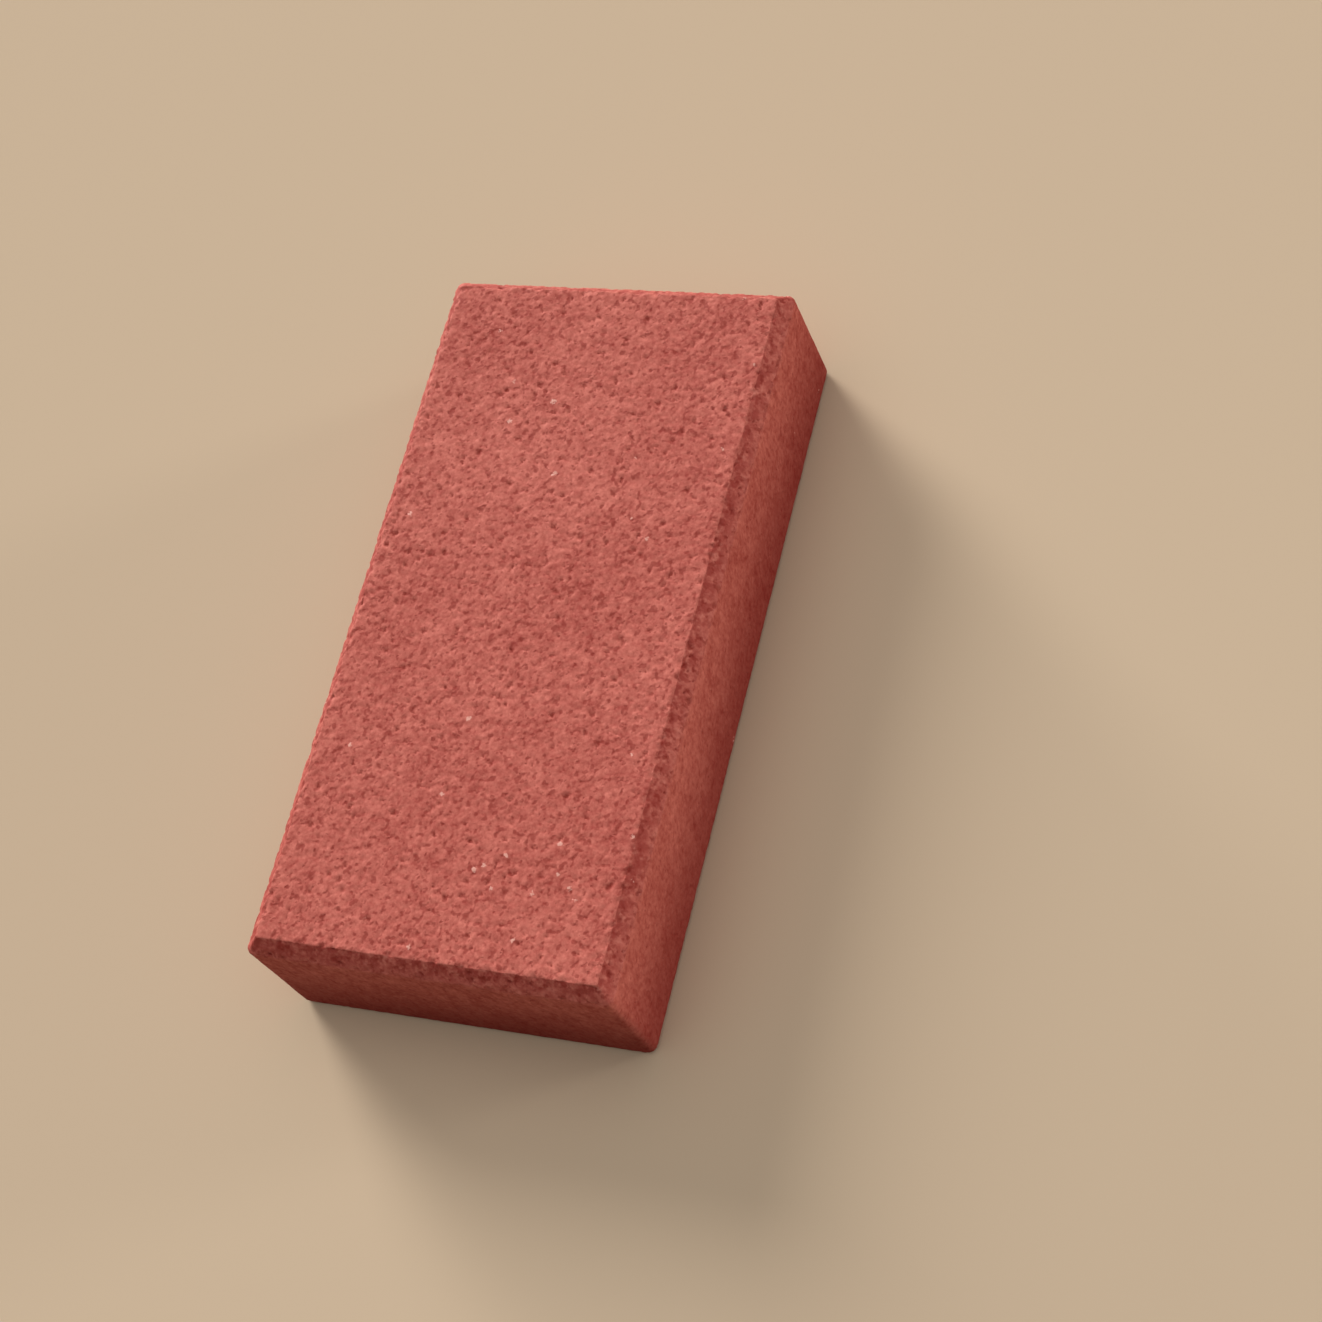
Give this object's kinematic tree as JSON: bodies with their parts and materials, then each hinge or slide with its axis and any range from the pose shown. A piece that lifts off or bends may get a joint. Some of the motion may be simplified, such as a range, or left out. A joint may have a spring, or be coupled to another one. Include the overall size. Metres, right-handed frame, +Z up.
{
  "type": "rectangular concrete block paver",
  "caption": "Solid rectangular pressed concrete paver with a chamfered wear face, rounded upright corners and a flat bed.",
  "frame": {"origin": "centre of the flat bed that the block is laid on", "axes": "+X along the block, +Y across it, +Z up out of the chamfered wear face"},
  "size_m": [0.2, 0.1, 0.04],
  "materials": {
    "red_concrete": "matt pressed concrete, pigmented red all through, fine open grain with small pits and pale sand grains"
  },
  "bodies": {
    "root": {"paver_block": "red_concrete"}
  },
  "joints": []
}
